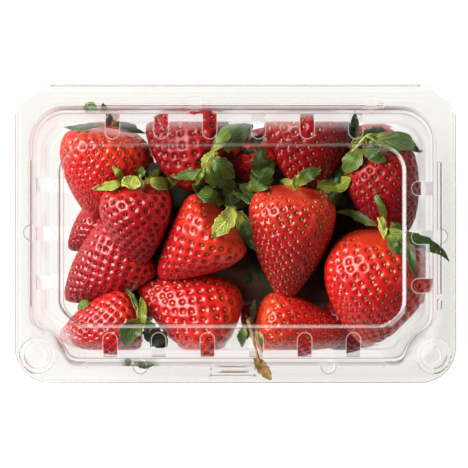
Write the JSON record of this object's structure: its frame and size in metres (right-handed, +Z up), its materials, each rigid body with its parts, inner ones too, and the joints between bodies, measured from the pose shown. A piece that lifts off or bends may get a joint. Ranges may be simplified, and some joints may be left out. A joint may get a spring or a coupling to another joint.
{
  "type": "punnet_of_strawberries",
  "caption": "A clear hinged plastic punnet with a vented, domed lid, packed full of ripe whole strawberries with their green leaves still on.",
  "frame": {"origin": "On the table under the middle of the pack's box, with the lid shut", "axes": "X runs along the pack's long side, Y points to the hinge at the back, Z is up"},
  "size_m": [0.186, 0.1256, 0.078],
  "materials": {
    "clear_plastic": "clear, glossy",
    "fruit": "glossy pitted fruit skin"
  },
  "bodies": {
    "tray_body": {"tray": "clear_plastic", "berries": "fruit"},
    "lid_body": {"lid": "clear_plastic"}
  },
  "joints": [
    {"name": "lid_hinge", "type": "hinge", "parent": "tray_body", "child": "lid_body", "pos_m": [0, 0.06295, 0.05505], "axis": [-1, 0, 0], "range_deg": [0, 180]}
  ]
}
